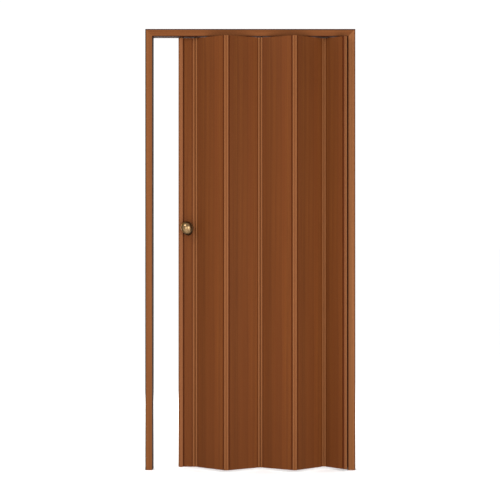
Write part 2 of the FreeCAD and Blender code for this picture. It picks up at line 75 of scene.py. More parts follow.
# Half the width of the narrowest web, at a sharp fold.
NARROW_WEB = 0.6 * MM

# Sockets of a Mix node that mixes colours. They go by number, because their names are shared
# with its sockets for other kinds of value.
FACTOR = 0
COLOUR_A = 6
COLOUR_B = 7
MIXED = 2
# How much of a normal runs along an axis where the face counts as looking along it.
FACING = 0.75


class Side(Enum):
    """Face of the door that a fitting is on, as the sign of its Y."""

    FRONT = -1
    BACK = 1


class Grain(Enum):
    """Direction that a foil's grain runs in, as the Euler angles that turn its Z there."""

    UPRIGHT = (0.0, 0.0, 0.0)
    ACROSS = (0.0, math.pi / 2, 0.0)


class BareAndShaded(Enum):
    """Faces that get the dark colour where the foil ends, as the axis that they look along: the
    sawn ends, and the frame's returns as painted shade.
    """

    LEVEL = "Z"
    SIDEWAYS = "X"


def linear(colour: str) -> tuple[float, float, float, float]:
    """Turn an sRGB hex colour to linear values.

    Args:
        colour: Six hex digits, as in "7A4524".

    Returns:
        Linear red, green and blue, and an alpha of 1.
    """
    channels = [int(colour[start:start + 2], 16) / 255 for start in (0, 2, 4)]
    turned = [c / 12.92 if c <= 0.04045 else ((c + 0.055) / 1.055) ** 2.4 for c in channels]
    return turned[0], turned[1], turned[2], 1.0


def add_node(
    tree: bpy.types.NodeTree,
    kind: str,
    settings: dict[str | int, Any] | None = None,
    links: dict[str | int, bpy.types.NodeSocket] | None = None,
) -> bpy.types.Node:
    """Add a node with its settings and links.

    Args:
        tree: Tree that gets the node.
        kind: Type of the node, without its ShaderNode prefix.
        settings: Values by the name of an attribute, or else of an input.
        links: Output sockets by the name or number of the input that they feed.

    Returns:
        The new node.
    """
    node = tree.nodes.new("ShaderNode" + kind)
    for key, value in (settings or {}).items():
        if isinstance(key, str) and hasattr(node, key):
            setattr(node, key, value)
        else:
            node.inputs[key].default_value = value
    for key, socket in (links or {}).items():
        tree.links.new(socket, node.inputs[key])
    return node


def new_material(name: str) -> tuple[bpy.types.Material, bpy.types.NodeTree]:
    """Make an empty node material.

    Args:
        name: Name of the material.

    Returns:
        The material and its empty tree.
    """
    material = bpy.data.materials.new(name)
    material.use_nodes = True
    material.node_tree.nodes.clear()
    return material, material.node_tree


@dataclass(frozen=True)
class Strip:
    """Place of a long extruded piece in plan.

    Attributes:
        middle: Middle of the piece.
        turn: Angle of its width about the upright axis, in radians.
        width: Width along that direction.
    """

    middle: Vector
    turn: float
    width: float

    @classmethod
    def of_node(cls, name: str, node: bpy.types.Object) -> "Strip":
        """Find the strip that a node's own mesh fills.

        Args:
            name: Name of the CAD node.
            node: Object of the CAD node.

        Returns:
            The strip, with its width along the longest direction in plan.
        """
        corners = np.round([vertex.co[:2] for vertex in node.data.vertices], PLAN_DECIMALS)
        points = np.unique(corners, axis=0)
        middle = (points.min(0) + points.max(0)) / 2
        # The corners spread most along the width, which is the last of the two axes found.
        spread = points - points.mean(0)
        along = np.linalg.eigh(spread.T @ spread)[1][:, 1]
        along = along if along[0] > 0 else -along
        reach = spread @ along
        low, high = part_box(name)
        place = Vector((middle[0], middle[1], (low.z + high.z) / 2))
        return cls(place, math.atan2(along[1], along[0]), float(reach.max() - reach.min()))


@dataclass(frozen=True)
class Profile:
    """Place of a hinge profile in plan.

    Attributes:
        fold: Where the middle lines of the two slats cross.
        turn: Angle of the line across its two clips, in radians.
        web_half: Half the width of the web between the clips.
        lip_start: From the fold to where the lips start, across.
    """

    fold: Vector
    turn: float
    web_half: float
    lip_start: float

    @classmethod
    def between(cls, before: Strip, after: Strip, reach: float, barrel: float) -> "Profile":
        """Find the profile that joins two slats.

        Args:
            before: The slat on its left.
            after: The slat on its right.
            reach: From the fold to the middle of a clip.
            barrel: Outer radius of a clip.

        Returns:
            The profile.
        """
        first = Vector((math.cos(before.turn), math.sin(before.turn)))
        second = Vector((math.cos(after.turn), math.sin(after.turn)))
        start, end = before.middle.to_2d(), after.middle.to_2d()
        fold = geometry.intersect_line_line_2d(
            start - first * FAR, start + first * FAR, end - second * FAR, end + second * FAR)
        arms = (start - fold).normalized(), (end - fold).normalized()
        across = (arms[1] - arms[0]).normalized()
        lean = arms[1].dot(across)
        half = reach * lean
        return cls(Vector((*fold, before.middle.z)), math.atan2(across.y, across.x),
                   max(half - barrel * RIDGE_TO_WEB, NARROW_WEB),
                   half + barrel * RIDGE_TO_LIP * lean)


@dataclass(frozen=True)
class GrainFoil:
    """Printed wood-grain foil on extruded PVC.

    The print is a straight, quiet grain, and the foil's matt lacquer gives a faint, broad gloss.
    A near-black colour goes where the foil ends: painted shade in the rebates, on the returns and
    along the edges, and the PVC's own colour on the sawn ends.

    Attributes:
        name: Name of the finish.
        dark: Colour of the grain's darker streaks.
        light: Colour of its lighter streaks.
        tint: Colour that broad bands drift to.
        core_and_shade: Colour where the foil ends: painted shade on returns, in rebates and along
            edges, and the PVC's own colour on sawn ends.
        streak: Width of a streak, drawn wider than the real print so that it shows.
        streak_ends: Values of the streaks' noise that are wholly dark and wholly light.
        band: Width of a band of tint.
        band_ends: Values of the bands' noise with no tint and with most of it.
        most_tint: Largest share of tint.
        stretch: How much longer than wide the streaks are.
        roughness: Roughness of the lacquer.
        gloss: Strength of the lacquer's reflection.
        refraction: Index of refraction of the lacquer.
        emboss: Depth of the embossed pores.
        emboss_strength: How strongly they turn the light.
        stave_shade_step: How much lighter each stave is than the one before, as a share: painted
            shading across the slat.
        joint_half: Half the width of the joint line between staves.
        joint_depth: Strength of that line.
    """

    name: str
    dark: str
    light: str
    tint: str
    core_and_shade: str
    streak: float = 7.0 * MM
    streak_ends: tuple[float, float] = (0.3, 0.7)
    band: float = 24.0 * MM
    band_ends: tuple[float, float] = (0.35, 0.65)
    most_tint: float = 0.6
    stretch: float = 90.0
    roughness: float = 0.5
    gloss: float = 0.04
    refraction: float = 1.46
    emboss: float = 0.05 * MM
    emboss_strength: float = 0.4
    stave_shade_step: float = 0.09
    joint_half: float = 5.0 * MM
    joint_depth: float = 0.8

    def material(
        self, piece: str, middle: Vector, turn: tuple[float, float, float],
        bare_and_shaded: BareAndShaded, staves: tuple[float, ...] = (), face: float = 0.0,
    ) -> bpy.types.Material:
        """Make the foil as it lies on one piece.

        Args:
            piece: Name of the piece.
            middle: Where the pattern is centred.
            turn: Euler angles that turn the pattern onto the piece.
            bare_and_shaded: Faces that get the dark colour where the foil ends.
            staves: Distances from the middle at which one printed stave ends and the next starts.
            face: Half the width that the foil covers, or 0 where it covers the whole width; beyond
                it lies painted shade.

        Returns:
            The material.
        """
        material, tree = new_material(self.name + "_" + piece)
        place = add_node(tree, "TexCoord").outputs["Object"]
        on_piece = add_node(tree, "Mapping", {
            "vector_type": "TEXTURE", "Location": middle, "Rotation": turn,
        }, {"Vector": place}).outputs[0]
        across = add_node(tree, "SeparateXYZ", links={0: on_piece}).outputs["X"]
        colour, streaks = self._grain(tree, on_piece)
        # Painted shading: each stave a little lighter than the one at its left.
        if staves:
            colour = self._staves(tree, colour, across, staves)
        # The dark colour where the foil ends is painted shade on the returns, in the rebates and
        # along the edges, and the PVC's own colour on the sawn ends.
        bare_and_shade_mask = self._bare_and_shade_mask(tree, bare_and_shaded, across, face)
        colour = add_node(tree, "Mix", {
            "data_type": "RGBA", COLOUR_B: linear(self.core_and_shade),
        }, {FACTOR: bare_and_shade_mask, COLOUR_A: colour}).outputs[MIXED]
        pores = add_node(tree, "Bump", {
            "Strength": self.emboss_strength, "Distance": self.emboss,
        }, {"Height": streaks}).outputs[0]
        shader = add_node(tree, "BsdfPrincipled", {
            "Roughness": self.roughness, "IOR": self.refraction, "Specular IOR Level": self.gloss,
        }, {"Base Color": colour, "Normal": pores}).outputs[0]
        add_node(tree, "OutputMaterial", links={"Surface": shader})
        return material

    def _grain(
        self, tree: bpy.types.NodeTree, on_piece: bpy.types.NodeSocket,
    ) -> tuple[bpy.types.NodeSocket, bpy.types.NodeSocket]:
        """Print the grain: fine streaks, with broad bands that drift in colour.

        Args:
            tree: The material's tree.
            on_piece: Place on the piece, with the grain along Z.

        Returns:
            The colour of the grain, and the noise that its streaks come from.
        """
        drawn = add_node(tree, "Mapping", {
            "Scale": (1.0, 1.0, 1.0 / self.stretch),
        }, {"Vector": on_piece}).outputs[0]
        streaks = add_node(tree, "TexNoise", {
            "Scale": 1.0 / self.streak, "Detail": 3.0, "Roughness": 0.55,
        }, {"Vector": drawn}).outputs["Fac"]
        bands = add_node(tree, "TexNoise", {
            "Scale": 1.0 / self.band, "Detail": 1.0, "Roughness": 0.5,
        }, {"Vector": drawn}).outputs["Fac"]
        lightness = add_node(tree, "MapRange", {
            "From Min": self.streak_ends[0], "From Max": self.streak_ends[1],
        }, {"Value": streaks}).outputs[0]
        drift = add_node(tree, "MapRange", {
            "From Min": self.band_ends[0], "From Max": self.band_ends[1],
            "To Max": self.most_tint,
        }, {"Value": bands}).outputs[0]
        wood = add_node(tree, "Mix", {
            "data_type": "RGBA", COLOUR_A: linear(self.dark), COLOUR_B: linear(self.light),
        }, {FACTOR: lightness}).outputs[MIXED]
        colour = add_node(tree, "Mix", {
            "data_type": "RGBA", COLOUR_B: linear(self.tint),
        }, {FACTOR: drift, COLOUR_A: wood}).outputs[MIXED]
        return colour, streaks

    def _staves(
        self, tree: bpy.types.NodeTree, colour: bpy.types.NodeSocket,
        across: bpy.types.NodeSocket, staves: tuple[float, ...],
    ) -> bpy.types.NodeSocket:
        """Print the staves with a dark joint line, and add painted shading that makes each a
        little lighter than the one before.

        Args:
            tree: The material's tree.
            colour: Colour of the grain.
            across: Distance from the piece's middle.
            staves: Distances at which one stave ends and the next starts.

        Returns:
            The colour of the staves.
        """
        # Painted shading across the slat, darkest at its left stave.
        shade_tone = add_node(tree, "Value").outputs[0]
        shade_tone.default_value = 1.0 - self.stave_shade_step * len(staves) / 2
        for joint in staves:
            further = add_node(tree, "MapRange", {
                "interpolation_type": "SMOOTHSTEP", "From Min": joint - self.joint_half,
                "From Max": joint + self.joint_half, "To Max": self.stave_shade_step,
            }, {"Value": across}).outputs[0]
            shade_tone = add_node(tree, "Math", {"operation": "ADD"}, {0: shade_tone, 1: further}).outputs[0]
            past = add_node(tree, "Math", {
                "operation": "SUBTRACT", 1: joint,
            }, {0: across}).outputs[0]
            gap = add_node(tree, "Math", {"operation": "ABSOLUTE"}, {0: past}).outputs[0]
            line = add_node(tree, "MapRange", {
                "interpolation_type": "SMOOTHSTEP", "From Max": self.joint_half,
                "To Min": self.joint_depth, "To Max": 0.0,
            }, {"Value": gap}).outputs[0]
            colour = add_node(tree, "Mix", {
                "data_type": "RGBA", COLOUR_B: linear(self.dark),
            }, {FACTOR: line, COLOUR_A: colour}).outputs[MIXED]
        return add_node(tree, "VectorMath", {
            "operation": "SCALE",
        }, {0: colour, "Scale": shade_tone}).outputs[0]

    def _bare_and_shade_mask(
        self, tree: bpy.types.NodeTree, bare_and_shaded: BareAndShaded, across: bpy.types.NodeSocket, face: float,
    ) -> bpy.types.NodeSocket:
        """Find where the dark colour goes: the sawn ends, and painted shade on returns, in rebates
        and along edges.

        Args:
            tree: The material's tree.
            bare_and_shaded: Faces that get the dark colour.
            across: Distance from the piece's middle.
            face: Half the width that it covers, or 0 where it covers the whole width.

        Returns:
            1 where the dark colour goes, and 0 elsewhere.
        """
        normal = add_node(tree, "TexCoord").outputs["Normal"]
        part = add_node(tree, "SeparateXYZ", links={0: normal}).outputs[bare_and_shaded.value]
        along = add_node(tree, "Math", {"operation": "ABSOLUTE"}, {0: part}).outputs[0]
        bare_and_shade_mask = add_node(tree, "Math", {
            "operation": "GREATER_THAN", 1: FACING,
        }, {0: along}).outputs[0]
        if face:
            distance = add_node(tree, "Math", {"operation": "ABSOLUTE"}, {0: across}).outputs[0]
            beyond = add_node(tree, "Math", {
                "operation": "GREATER_THAN", 1: face,
            }, {0: distance}).outputs[0]
            bare_and_shade_mask = add_node(tree, "Math", {
                "operation": "MAXIMUM",
            }, {0: beyond, 1: bare_and_shade_mask}).outputs[0]
        return bare_and_shade_mask


@dataclass(frozen=True)
class SoftPlastic:
    """Flexible PVC or nylon, moulded in its own colour, with a fine matt skin.

    Attributes:
        name: Name of the finish.
        colour: Colour of the plastic.
        shade: Colour of its slightly darker patches.
        web: Colour of a hinge's web between the clips, painted shade for the valley there.
        lip: Colour of a hinge's lips, painted shade for the grooves beside the clips.
        patch: Size of a patch.
        stretch: How much longer than wide the patches are, along Z.
        roughness: Roughness of the skin.
        gloss: Strength of its reflection.
        refraction: Index of refraction of the plastic.
        skin: Depth of the skin's unevenness.
        skin_strength: How strongly it turns the light.
    """

    name: str
    colour: str
    shade: str
    web: str = "5E3316"
    lip: str = "4A210B"
    patch: float = 18.0 * MM
    stretch: float = 1.0
    roughness: float = 0.42
    gloss: float = 0.12
    refraction: float = 1.5
    skin: float = 0.02 * MM
    skin_strength: float = 0.3

    def material(self, piece: str, profile: Profile | None = None) -> bpy.types.Material:
        """Make the plastic as it is on one piece.

        Args:
            piece: Name of the piece.
            profile: Place of a hinge's clips, whose web and lips get painted shade.

        Returns:
            The material.
        """
        material, tree = new_material(self.name + "_" + piece)
        place = add_node(tree, "TexCoord").outputs["Object"]
        drawn = add_node(tree, "Mapping", {
            "Scale": (1.0, 1.0, 1.0 / self.stretch),
        }, {"Vector": place}).outputs[0]
        patches = add_node(tree, "TexNoise", {
            "Scale": 1.0 / self.patch, "Detail": 2.0,
        }, {"Vector": drawn}).outputs["Fac"]
        colour = add_node(tree, "Mix", {
            "data_type": "RGBA", COLOUR_A: linear(self.shade), COLOUR_B: linear(self.colour),
        }, {FACTOR: patches}).outputs[MIXED]
        if profile:
            # Painted shade on the hinge's web and lips.
            colour = self._paint_web_and_lip_shade(tree, colour, place, profile)
        skin = add_node(tree, "Bump", {
            "Strength": self.skin_strength, "Distance": self.skin,
        }, {"Height": patches}).outputs[0]
        shader = add_node(tree, "BsdfPrincipled", {
            "Roughness": self.roughness, "IOR": self.refraction, "Specular IOR Level": self.gloss,
        }, {"Base Color": colour, "Normal": skin}).outputs[0]
        add_node(tree, "OutputMaterial", links={"Surface": shader})
        return material

    def _paint_web_and_lip_shade(
        self, tree: bpy.types.NodeTree, colour: bpy.types.NodeSocket,
        place: bpy.types.NodeSocket, profile: Profile,
    ) -> bpy.types.NodeSocket:
        """Paint shade on the web between the clips and on the lips beside them.

        Args:
            tree: The material's tree.
            colour: Colour of the clips.
            place: Place in the door's frame.
            profile: Place of the clips.

        Returns:
            The colour of the whole profile.
        """
        on_profile = add_node(tree, "Mapping", {
            "vector_type": "TEXTURE", "Location": profile.fold, "Rotation": (0, 0, profile.turn),
        }, {"Vector": place}).outputs[0]
        across = add_node(tree, "SeparateXYZ", links={0: on_profile}).outputs["X"]
        reach = add_node(tree, "Math", {"operation": "ABSOLUTE"}, {0: across}).outputs[0]
        on_web = add_node(tree, "Math", {
            "operation": "LESS_THAN", 1: profile.web_half,
        }, {0: reach}).outputs[0]
        on_lip = add_node(tree, "Math", {
            "operation": "GREATER_THAN", 1: profile.lip_start,
        }, {0: reach}).outputs[0]
        colour = add_node(tree, "Mix", {
            "data_type": "RGBA", COLOUR_B: linear(self.web),
        }, {FACTOR: on_web, COLOUR_A: colour}).outputs[MIXED]
        return add_node(tree, "Mix", {
            "data_type": "RGBA", COLOUR_B: linear(self.lip),
        }, {FACTOR: on_lip, COLOUR_A: colour}).outputs[MIXED]


@dataclass(frozen=True)
class RubbedAndLit:
    """Bright patch of a metal piece, partly kept bright by hands and partly a painted highlight,
    with painted shade beyond it.

    Attributes:
        middle: Middle of the patch.
        bright_to: From the middle to where the dark rim starts.
        dark_from: From the middle to where it is full.
    """

    middle: Vector
    bright_to: float
    dark_from: float


@dataclass(frozen=True)
class WornMetal:
    """Metal whose polish has dulled in patches.

    Attributes:
        name: Name of the finish.
        bright: Colour where it is polished bright.
        dull: Colour where it has darkened.
        patch: Size of a patch.
        smooth: Roughness where it is bright.
        rough: Roughness where it is dull.
        patch_ends: Values of the patches' noise that are wholly dull and wholly bright.
        edge: Tint of its reflection at grazing angles.
        gloss: Strength of that reflection.
        patina_and_shade: Colour of the dark rim round the bright patch, partly tarnish and partly
            painted shade.
        patina_metal: How metallic the dark rim still looks.
    """

    name: str
    bright: str
    dull: str
    patch: float
    smooth: float
    rough: float
    patch_ends: tuple[float, float] = (0.35, 0.65)
    edge: str = "B09878"
    gloss: float = 0.1
    patina_and_shade: str = "1E1208"
    patina_metal: float = 0.1

    def material(self, piece: str, rubbed_and_lit: RubbedAndLit | None = None) -> bpy.types.Material:
        """Make the metal as it is on one piece.

        Args:
            piece: Name of the piece.
            rubbed_and_lit: Where it stays bright, partly from hands and partly as a painted
                highlight, with a dark rim of tarnish and painted shade round it; or nothing where
                it has no dark rim.

        Returns:
            The material.
        """
        material, tree = new_material(self.name + "_" + piece)
        place = add_node(tree, "TexCoord").outputs["Object"]
        patches = add_node(tree, "TexNoise", {
            "Scale": 1.0 / self.patch, "Detail": 4.0, "Roughness": 0.6,
        }, {"Vector": place}).outputs["Fac"]
        polish = add_node(tree, "MapRange", {
            "From Min": self.patch_ends[0], "From Max": self.patch_ends[1],
        }, {"Value": patches}).outputs[0]
        looks = {
            "Base Color": add_node(tree, "Mix", {
                "data_type": "RGBA", COLOUR_A: linear(self.dull), COLOUR_B: linear(self.bright),
            }, {FACTOR: polish}).outputs[MIXED],
            "Roughness": add_node(tree, "MapRange", {
                "To Min": self.rough, "To Max": self.smooth,
            }, {"Value": polish}).outputs[0],
        }
        # A dark rim of tarnish and painted shade round the bright patch, which is partly a painted
        # highlight.
        if rubbed_and_lit:
            reach = add_node(tree, "VectorMath", {
                "operation": "DISTANCE", 1: rubbed_and_lit.middle,
            }, {0: place}).outputs["Value"]
            tarnish_and_shade = add_node(tree, "MapRange", {
                "interpolation_type": "SMOOTHSTEP", "From Min": rubbed_and_lit.bright_to,
                "From Max": rubbed_and_lit.dark_from,
            }, {"Value": reach}).outputs[0]
            looks["Base Color"] = add_node(tree, "Mix", {
                "data_type": "RGBA", COLOUR_B: linear(self.patina_and_shade),
            }, {FACTOR: tarnish_and_shade, COLOUR_A: looks["Base Color"]}).outputs[MIXED]
            looks["Metallic"] = add_node(tree, "MapRange", {
                "To Min": 1.0, "To Max": self.patina_metal,
            }, {"Value": tarnish_and_shade}).outputs[0]
        shader = add_node(tree, "BsdfPrincipled", {
            "Metallic": 1.0, "Specular IOR Level": self.gloss, "Specular Tint": linear(self.edge),
        }, looks).outputs[0]
        add_node(tree, "OutputMaterial", links={"Surface": shader})
        return material


# The frame's outside is rigid PVC with wood-print foil pressed over its face: warm red-brown with
# a fine straight grain, matt, and near-black painted shade along its edges and on its returns.
FRAME_FOIL = GrainFoil("frame_foil", dark="60381C", light="6E4324", tint="663C20", core_and_shade="1E0C04")
# The head channel has the same print a little deeper than the jambs', with its grain level, and
# near-black painted shade on its underside and top.
HEAD_FOIL = GrainFoil("head_foil", dark="5A3218", light="683D20", tint="60371C", core_and_shade="2E1409")
# The wall-side jamb and its packing strip have a lighter, more orange copy of the frame's foil:
# painted light that offsets the shade the leaf's last fold throws on them.
LIT_WALL_FOIL = GrainFoil("wall_foil", dark="704626", light="7E5030", tint="774A2B", core_and_shade="472410")
# The lead post's foil is the same print on a lighter ground than the frame's.
TRIM_FOIL = GrainFoil("trim_foil", dark="663D21", light="73462A", tint="6C4126", core_and_shade="3A1A0B")
# The slats are hollow PVC with a deeper, redder print of three staves each, painted shading that
# makes each stave a little lighter than the one at its left, painted shade in the rebates, and a
# matt lacquer that keeps a reflection soft and broad.
SLAT_FOIL = GrainFoil("slat_foil", dark="512A12", light="5D3315", tint="572D13", core_and_shade="4A210B")
# The hinge profiles are flexible PVC dyed through: satin light-brown ridges over the beads, with
# painted shade on the web between them and on the dark lips, standing in for the valley and the
# grooves.
HINGE_PLASTIC = SoftPlastic("hinge_plastic", colour="704526", shade="693F21", stretch=40.0,
                            gloss=0.06)
# The rollers are natural nylon, off-white with a soft wax-like shine.
ROLLER_NYLON = SoftPlastic("roller_plastic", colour="D8D6CE", shade="C6C3BA", gloss=0.5)
# Hangers and spindle are zinc-plated steel, cloudy and hardly shiny, in a dark grey that is
# painted shade, so the hangers stay dark in the gap under the head.
ZINC_STEEL = WornMetal("zinc_steel", bright="4C463E", dull="36312B", patch=9.0 * MM,
                       smooth=0.4, rough=0.55)
# Knobs and roses are antiqued brass: olive-gold and smooth where a hand rubs them. On the knobs
# the bright middle sits up and left as a painted highlight, in a near-black rim of tarnish and
# painted shade that sets the egg off from the door.
AGED_BRASS = WornMetal("antique_brass", bright="876E4E", dull="6E573C", patch=14.0 * MM,
                       smooth=0.22, rough=0.3)


def put_on(node: bpy.types.Object, material: bpy.types.Material) -> None:
    """Give an object one material in all its slots.

    Args:
        node: Object to dress.
        material: The material.
    """
    if not node.data.materials:
        node.data.materials.append(material)
    for number in range(len(node.data.materials)):
        node.data.materials[number] = material
    LOG.info("%s: %s", node.name, material.name)


def add_piece(
    name: str, form: bmesh.types.BMesh, material: bpy.types.Material,
) -> bpy.types.Object:
    """Turn a finished bmesh to a smooth piece that rides on the door.

    Args:
        name: Name of the piece.
        form: Its shape, in the door's frame.
        material: Its material.

    Returns:
        The new object.
    """
    bmesh.ops.recalc_face_normals(form, faces=form.faces)
    for face in form.faces:
        face.smooth = True
    mesh = bpy.data.meshes.new(name)
    form.to_mesh(mesh)
    form.free()
    piece = bpy.data.objects.new(name, mesh)
    bpy.context.scene.collection.objects.link(piece)
    put_on(piece, material)
    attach(piece, "root")
    LOG.info("%s: %d faces", name, len(mesh.polygons))
    return piece


@dataclass
class DoorFrame:
    """Jambs and head channel in foil, with the grain along each length and painted shade along the
    edges and on the returns.

    Attributes:
        jambs: Upright nodes and their foils.
        head: The level node.
        edge_shade: From each edge to where the foil starts; the band between is painted shade.
    """

    jambs: tuple[tuple[str, GrainFoil], ...] = (
        ("left_jamb", FRAME_FOIL), ("right_jamb", LIT_WALL_FOIL), ("packing_strip", LIT_WALL_FOIL),
    )
    head: str = "head_channel"
    edge_shade: float = 4.2 * MM

    def dress(self, nodes: dict[str, bpy.types.Object]) -> None:
        """Put the foil on.

        Args:
            nodes: CAD nodes by name.
        """
        # Near-black painted shade goes on each jamb's side faces and on a band along each upright
        # edge.
        for name, foil in self.jambs:
            low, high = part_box(name)
            put_on(nodes[name], foil.material(
                name, (low + high) / 2, Grain.UPRIGHT.value, BareAndShaded.SIDEWAYS,
                face=(high.x - low.x) / 2 - self.edge_shade))
        # Near-black painted shade goes on the head's level faces and on a band along its top and
        # bottom edges.
        low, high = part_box(self.head)
        put_on(nodes[self.head], HEAD_FOIL.material(
            self.head, (low + high) / 2, Grain.ACROSS.value, BareAndShaded.LEVEL,
            face=(high.z - low.z) / 2 - self.edge_shade))


@dataclass
class Leaf:
    """Lead post, slats and hinge profiles.

    Attributes:
        post: Node that is the lead post.
        slats: Nodes that are slats, from the post to the wall.
        hinges: Nodes that are hinge profiles, each between two slats.
        print_lines: Where the print's darker lines run, as shares of the print's width.
        print_width: Width of the print on a full slat.
        rebate_shade: From a slat's outermost edge to the foil's edge; the band between is painted
            shade.
        reach: From a fold to the middle of a hinge's clip.
        wall_reach: The same at the wall slat's sharp fold.
        barrel: Outer radius of a clip.
    """

    post: str = "lead_post"
    slats: tuple[str, ...] = (
        "lead_slat", "slat_1", "slat_2", "slat_3", "slat_4", "end_slat", "wall_slat",
    )
    hinges: tuple[str, ...] = (
        "hinge_1", "hinge_2", "hinge_3", "hinge_4", "hinge_5", "hinge_6",
    )
    print_lines: tuple[float, ...] = (0.28, 0.65)
    print_width: float = 148.0 * MM
    rebate_shade: float = 13.4 * MM
    reach: float = 7.0 * MM
    wall_reach: float = 10.0 * MM
    barrel: float = 5.4 * MM

    def dress(self, nodes: dict[str, bpy.types.Object]) -> None:
        """Put foil and plastic on.

        Args:
            nodes: CAD nodes by name.
        """
        low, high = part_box(self.post)
        put_on(nodes[self.post], TRIM_FOIL.material(
            self.post, (low + high) / 2, Grain.UPRIGHT.value, BareAndShaded.LEVEL))
        staves = tuple((share - 0.5) * self.print_width for share in self.print_lines)
        strips = [Strip.of_node(name, nodes[name]) for name in self.slats]
        # Each slat gets painted shade in its rebates, beyond the foil's edges, and painted shading
        # across its staves.
        for name, strip in zip(self.slats, strips):
            put_on(nodes[name], SLAT_FOIL.material(
                name, strip.middle, (0.0, 0.0, strip.turn), BareAndShaded.LEVEL, staves,
                strip.width / 2 - self.rebate_shade))
            LOG.info("%s: turned %.1f degrees, %.0f mm wide", name, math.degrees(strip.turn),
                     strip.width / MM)
        reaches = [self.reach] * (len(self.hinges) - 1) + [self.wall_reach]
        for name, before, after, reach in zip(self.hinges, strips, strips[1:], reaches):
            profile = Profile.between(before, after, reach, self.barrel)
            # The profile's web and lips get painted shade.
            put_on(nodes[name], HINGE_PLASTIC.material(name, profile))
            LOG.info("%s: fold at %.0f, %.0f mm", name, profile.fold.x / MM, profile.fold.y / MM)


@dataclass
class TrackGear:
    """Hangers and rollers in the head channel.

    Attributes:
        count: Number of hangers, each with its own rollers.
    """

    count: int = 4

    def dress(self, nodes: dict[str, bpy.types.Object]) -> None:
        """Put steel and nylon on.

        Args:
            nodes: CAD nodes by name.
        """
        steel = ZINC_STEEL.material("track")
        nylon = ROLLER_NYLON.material("track")
        for number in range(1, self.count + 1):
            put_on(nodes["hanger_%d" % number], steel)
            put_on(nodes["rollers_%d" % number], nylon)


@dataclass
class KnobSet:
    """Egg-shaped brass knobs, their roses and the spindle that joins them.

    Attributes:
        spindle: Node that is the spindle.
        wide: Width of the grip across its long axis.
        tall: Length of the grip.
        taper: How much broader the grip is above than below, as a share.
        back: From the grip's centre to its flat back.
        flatness: How sharply the grip's side turns into its back.
        tilt: Lean of the long axis, its top toward the left jamb.
        meridians: Faces round the grip.
        parallels: Faces along it.
        stem: Radius of the neck where it leaves the rose.
        neck: Length of the neck.
        waist: Outline of the neck from the rose into the grip, as shares of its length and of
            its radius at the rose.
        facets: Faces round the neck.
        lit_shift: Where the bright patch sits off the grip's axis, across and up: up and left, as
            a painted highlight.
        bright_to: From the patch's middle to where the dark rim of tarnish and painted shade
            starts.
        dark_from: From the patch's middle to where it is full.
    """

    spindle: str = "knob_spindle"
    wide: float = 56.0 * MM
    tall: float = 68.0 * MM
    taper: float = 0.18
    back: float = 14.0 * MM
    flatness: float = 6.0
    tilt: float = math.radians(20.0)
    meridians: int = 56
    parallels: int = 40
    stem: float = 8.0 * MM
    neck: float = 10.0 * MM
    waist: tuple[tuple[float, float], ...] = (
        (0.0, 1.0), (0.15, 1.0), (0.3, 0.82), (0.6, 0.78), (0.85, 0.95), (1.15, 1.35),
    )
    facets: int = 40
    lit_shift: tuple[float, float] = (-5.0 * MM, 9.0 * MM)
    bright_to: float = 27.0 * MM
    dark_from: float = 41.0 * MM

    def build(self, nodes: dict[str, bpy.types.Object]) -> None:
        """Model both knobs, and dress the roses and the spindle.

        Args:
            nodes: CAD nodes by name.
        """
        put_on(nodes[self.spindle], ZINC_STEEL.material("spindle"))
        for side in Side:
            word = side.name.lower()
            piece = self._knob(side, "knob_" + word)
            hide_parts("knob_" + word)
            put_on(nodes["rose_" + word], AGED_BRASS.material("rose_" + word))

    def _knob(self, side: Side, node: str) -> bpy.types.Object:
        """Model one knob over its CAD node.

        Args:
            side: Face of the door that it is on.
            node: CAD node that it stands for.

        Returns:
            The knob.
        """
        low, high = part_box(node)
        # Where the knob's solid meets its rose.
        seat = high.y if side is Side.FRONT else low.y
        axis_low, axis_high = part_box(self.spindle)
        form = bmesh.new()
        grip = bmesh.ops.create_uvsphere(
            form, u_segments=self.meridians, v_segments=self.parallels, radius=1.0)["verts"]
        for vertex in grip:
            breadth = self.wide / 2 * (1.0 + self.taper * vertex.co.z)
            depth = vertex.co.y * breadth
            # The half toward the door is squeezed to a flat back with rounded shoulders.
            if depth * side.value < 0.0:
                depth /= (1.0 + (abs(depth) / self.back) ** self.flatness) ** (1 / self.flatness)
            vertex.co = Vector((vertex.co.x * breadth, depth, vertex.co.z * self.tall / 2))
        bmesh.ops.rotate(form, cent=(0.0, 0.0, 0.0), verts=grip,
                         matrix=Matrix.Rotation(-self.tilt, 3, "Y"))
        centre = Vector(((axis_low.x + axis_high.x) / 2,
                         seat + side.value * (self.neck + self.back),
                         (axis_low.z + axis_high.z) / 2))
        bmesh.ops.translate(form, vec=centre, verts=grip)
        self._neck(form, Vector((centre.x, seat, centre.z)), side)
        # The bright patch sits up and left of the grip's tip as a painted highlight, leaving
        # painted shade round the lower-right rim.
        tip = centre + Vector((self.lit_shift[0], side.value * self.wide / 2, self.lit_shift[1]))
        brass = AGED_BRASS.material(node, RubbedAndLit(tip, self.bright_to, self.dark_from))
        return add_piece(node + "_egg", form, brass)

    def _neck(self, form: bmesh.types.BMesh, foot: Vector, side: Side) -> None:
        """Add the waisted neck between the rose and the grip.

        Args:
            form: Shape that gets it.
            foot: Where the spindle meets the rose.
            side: Face of the door that it is on.
        """
        points = [
            form.verts.new(foot + Vector((self.stem * share, side.value * self.neck * way, 0.0)))
            for way, share in self.waist
        ]
        edges = [form.edges.new(ends) for ends in zip(points, points[1:])]
        bmesh.ops.spin(form, geom=points + edges, cent=foot, axis=(0.0, 1.0, 0.0),
                       angle=math.tau, steps=self.facets, use_merge=True)


